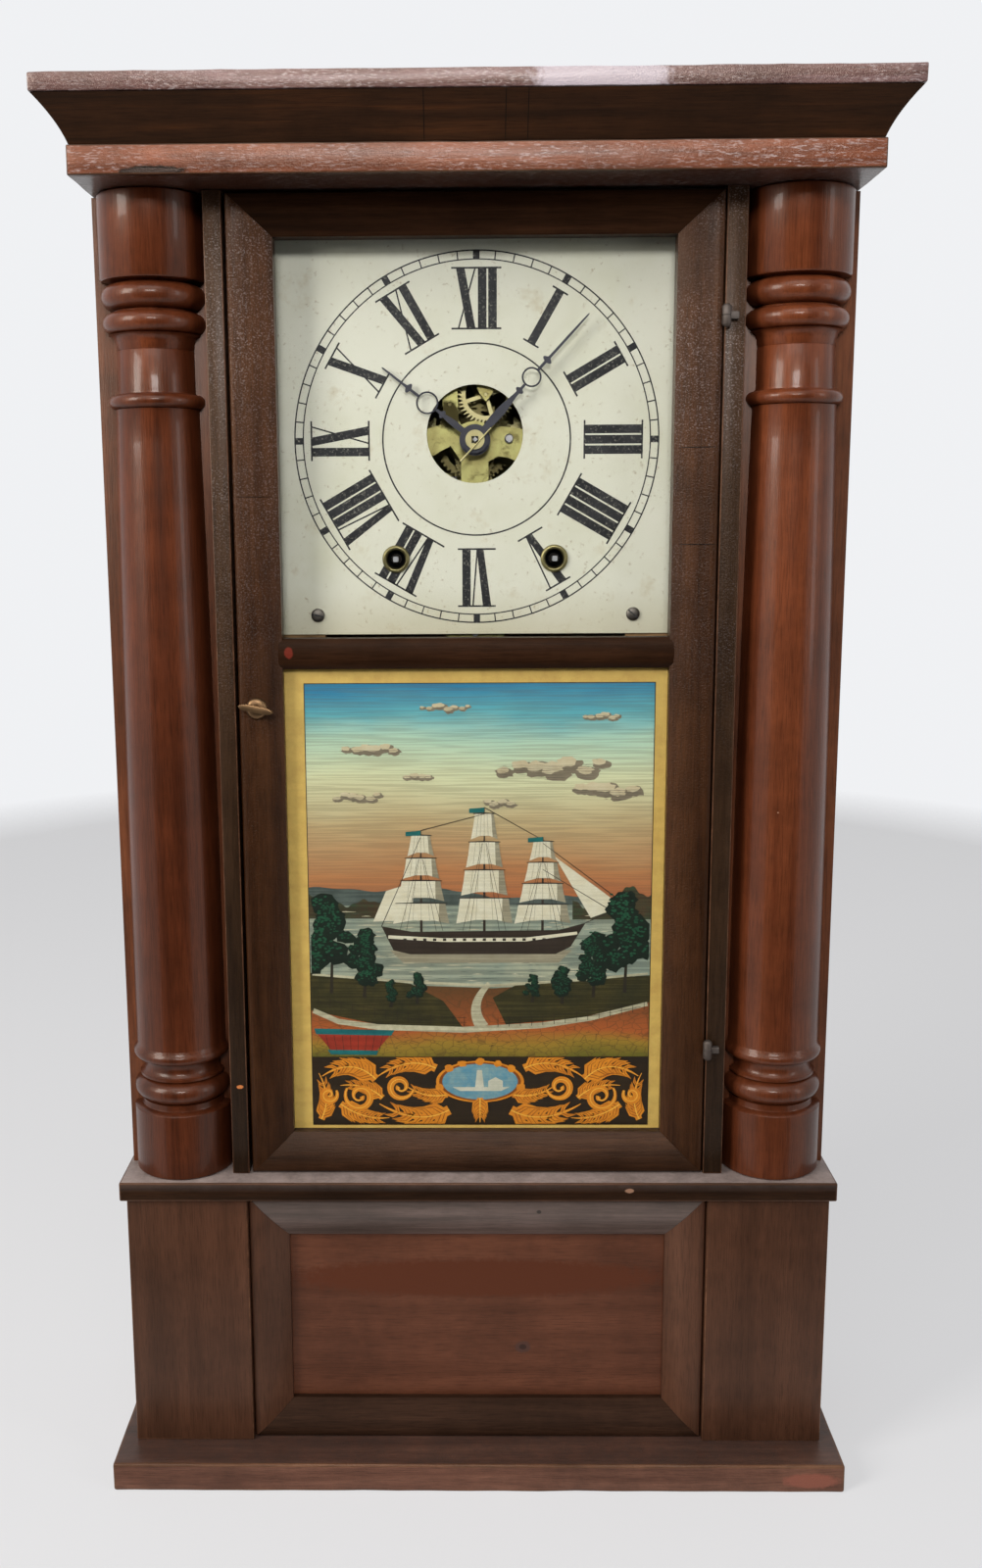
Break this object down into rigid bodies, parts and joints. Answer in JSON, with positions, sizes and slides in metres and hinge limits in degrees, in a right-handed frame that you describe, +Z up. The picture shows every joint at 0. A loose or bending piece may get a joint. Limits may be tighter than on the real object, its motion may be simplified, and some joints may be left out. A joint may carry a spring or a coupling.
{
  "type": "weight-driven shelf clock",
  "caption": "Mahogany shelf clock with half columns, coved cornice, glazed door, painted dial and brass weight movement",
  "frame": {"origin": "middle of the base board's underside, in the plane of the case's back", "axes": "x to the right seen from the front, y towards the back, z up"},
  "size_m": [0.457, 0.1625, 0.8127],
  "materials": {
    "case_mahogany": "old shellac, semi gloss",
    "column_mahogany": "glossy shellac",
    "door_mahogany": "dark crazed shellac",
    "pine": "bare softwood",
    "brass": "aged",
    "steel": "dull",
    "blued_steel": "blued",
    "iron": "dark, rough",
    "dial_paint": "aged cream paint",
    "glass": "clear",
    "tablet_glass": "painted on the back",
    "cord": "braided cord"
  },
  "bodies": {
    "case": {"architrave": "case_mahogany", "backboard": "pine", "base_block_left": "case_mahogany", "base_block_right": "case_mahogany", "base_board": "case_mahogany", "base_panel": "case_mahogany", "base_panel_frame": "case_mahogany", "case_top": "pine", "column_left": "column_mahogany", "column_right": "column_mahogany", "cornice_top": "case_mahogany", "crown_moulding": "case_mahogany", "dial": "dial_paint", "dial_rail_left": "pine", "dial_rail_right": "pine", "dial_screw_left": "steel", "dial_screw_right": "steel", "gong": "steel", "gong_base": "iron", "grommet_left": "brass", "grommet_right": "brass", "hinge_lower": "iron", "hinge_upper": "iron", "movement_back_plate": "brass", "movement_front_plate": "brass", "side_left": "case_mahogany", "side_right": "case_mahogany", "stile_left": "case_mahogany", "stile_right": "case_mahogany", "strike_cord": "cord", "time_cord": "cord", "waist_shelf": "case_mahogany"},
    "door": {"door_frame": "door_mahogany", "dial_glass": "glass", "tablet_glass": "tablet_glass", "latch_plate": "brass"},
    "latch": {"turn_latch": "brass"},
    "minute_hand_group": {"centre_arbor": "brass", "minute_hand": "blued_steel", "hand_collet": "brass"},
    "hour_hand_group": {"hour_wheel": "brass", "hour_hand": "blued_steel"},
    "minute_wheel_group": {"minute_wheel": "brass"},
    "time_second": {"time_second_wheel": "brass"},
    "time_great": {"time_great_wheel": "brass"},
    "third": {"third_wheel": "brass"},
    "escape": {"escape_wheel": "brass"},
    "strike_great": {"strike_great_wheel": "brass"},
    "strike_second": {"strike_second_wheel": "brass"},
    "strike_fly": {"fly": "brass"},
    "time_winder": {"time_drum": "brass"},
    "strike_winder": {"strike_drum": "brass"},
    "time_pulley": {"pulley_right": "brass"},
    "strike_pulley": {"pulley_left": "brass"},
    "time_load": {"time_weight": "iron"},
    "strike_load": {"strike_weight": "iron"},
    "pendulum": {"pendulum_rod": "steel", "pendulum_bob": "brass"},
    "verge_group": {"verge": "steel"},
    "hammer_group": {"hammer": "steel"}
  },
  "joints": [
    {"name": "door_hinge", "type": "hinge", "parent": "case", "child": "door", "pos_m": [0.13835, -0.1159, 0], "axis": [0, 0, 1], "range_deg": [0, 105]},
    {"name": "latch_turn", "type": "hinge", "parent": "door", "child": "latch", "pos_m": [-0.127, 0, 0.4795], "axis": [0, -1, 0], "range_deg": [0, 90]},
    {"name": "third_wheel_turn", "type": "hinge", "parent": "case", "child": "third", "pos_m": [-0.0145, 0, 0.6525], "axis": [0, 1, 0], "continuous": true},
    {"name": "minute_hand_turn", "type": "hinge", "parent": "case", "child": "minute_hand_group", "pos_m": [0, 0, 0.632], "axis": [0, 1, 0], "continuous": true},
    {"name": "hour_hand_turn", "type": "hinge", "parent": "case", "child": "hour_hand_group", "pos_m": [0, 0, 0.632], "axis": [0, 1, 0], "continuous": true},
    {"name": "minute_wheel_turn", "type": "hinge", "parent": "case", "child": "minute_wheel_group", "pos_m": [0, 0, 0.618], "axis": [0, 1, 0], "continuous": true},
    {"name": "time_second_turn", "type": "hinge", "parent": "case", "child": "time_second", "pos_m": [0.04, 0, 0.6132], "axis": [0, 1, 0], "continuous": true},
    {"name": "time_great_turn", "type": "hinge", "parent": "case", "child": "time_great", "pos_m": [0.0464, 0, 0.564], "axis": [0, 1, 0], "continuous": true},
    {"name": "escape_turn", "type": "hinge", "parent": "case", "child": "escape", "pos_m": [0.0065, 0, 0.658], "axis": [0, 1, 0], "continuous": true},
    {"name": "strike_second_turn", "type": "hinge", "parent": "case", "child": "strike_second", "pos_m": [-0.04, 0, 0.6132], "axis": [0, 1, 0], "continuous": true},
    {"name": "strike_great_turn", "type": "hinge", "parent": "case", "child": "strike_great", "pos_m": [-0.0464, 0, 0.564], "axis": [0, 1, 0], "continuous": true},
    {"name": "fly_turn", "type": "hinge", "parent": "case", "child": "strike_fly", "pos_m": [-0.05, 0, 0.6544], "axis": [0, 1, 0], "continuous": true},
    {"name": "time_weight_lift", "type": "slide", "parent": "case", "child": "time_load", "axis": [0, 0, 1], "range_m": [0, 0.45], "deforming": ["time_cord"]},
    {"name": "strike_weight_lift", "type": "slide", "parent": "case", "child": "strike_load", "axis": [0, 0, 1], "range_m": [0, 0.45], "deforming": ["strike_cord"]},
    {"name": "time_drum_turn", "type": "hinge", "parent": "case", "child": "time_winder", "pos_m": [0.0464, 0, 0.564], "axis": [0, 1, 0], "range_deg": [-2600, 1]},
    {"name": "strike_drum_turn", "type": "hinge", "parent": "case", "child": "strike_winder", "pos_m": [-0.0464, 0, 0.564], "axis": [0, 1, 0], "range_deg": [-1, 2600]},
    {"name": "time_pulley_turn", "type": "hinge", "parent": "case", "child": "time_pulley", "pos_m": [0.158, -0.054, 0.7447], "axis": [0, 1, 0], "range_deg": [-2200, 1]},
    {"name": "strike_pulley_turn", "type": "hinge", "parent": "case", "child": "strike_pulley", "pos_m": [-0.158, -0.054, 0.7447], "axis": [0, 1, 0], "range_deg": [-1, 2200]},
    {"name": "pendulum_swing", "type": "hinge", "parent": "case", "child": "pendulum", "pos_m": [0, -0.03, 0.688], "axis": [0, 1, 0], "range_deg": [-4, 4]},
    {"name": "verge_rock", "type": "hinge", "parent": "case", "child": "verge_group", "pos_m": [0, 0, 0.679], "axis": [0, 1, 0], "range_deg": [-4, 4]},
    {"name": "hammer_lift", "type": "hinge", "parent": "case", "child": "hammer_group", "pos_m": [-0.012, 0, 0.61], "axis": [0, -1, 0], "range_deg": [0, 12]}
  ],
  "couplings": [
    {"joint": "minute_hand_turn", "follows": "third_wheel_turn", "ratio": -0.125},
    {"joint": "escape_turn", "follows": "third_wheel_turn", "ratio": -8},
    {"joint": "hour_hand_turn", "follows": "third_wheel_turn", "ratio": -0.010417},
    {"joint": "minute_wheel_turn", "follows": "third_wheel_turn", "ratio": 0.041667},
    {"joint": "time_second_turn", "follows": "third_wheel_turn", "ratio": 0.03125},
    {"joint": "time_great_turn", "follows": "third_wheel_turn", "ratio": -0.0052083},
    {"joint": "strike_great_turn", "follows": "strike_second_turn", "ratio": -0.16667},
    {"joint": "fly_turn", "follows": "strike_second_turn", "ratio": -5},
    {"joint": "time_drum_turn", "follows": "time_weight_lift", "rad_per_m": -100},
    {"joint": "time_pulley_turn", "follows": "time_weight_lift", "rad_per_m": -83.333},
    {"joint": "strike_drum_turn", "follows": "strike_weight_lift", "rad_per_m": 100},
    {"joint": "strike_pulley_turn", "follows": "strike_weight_lift", "rad_per_m": 83.333},
    {"joint": "verge_rock", "follows": "pendulum_swing", "ratio": 1}
  ]
}
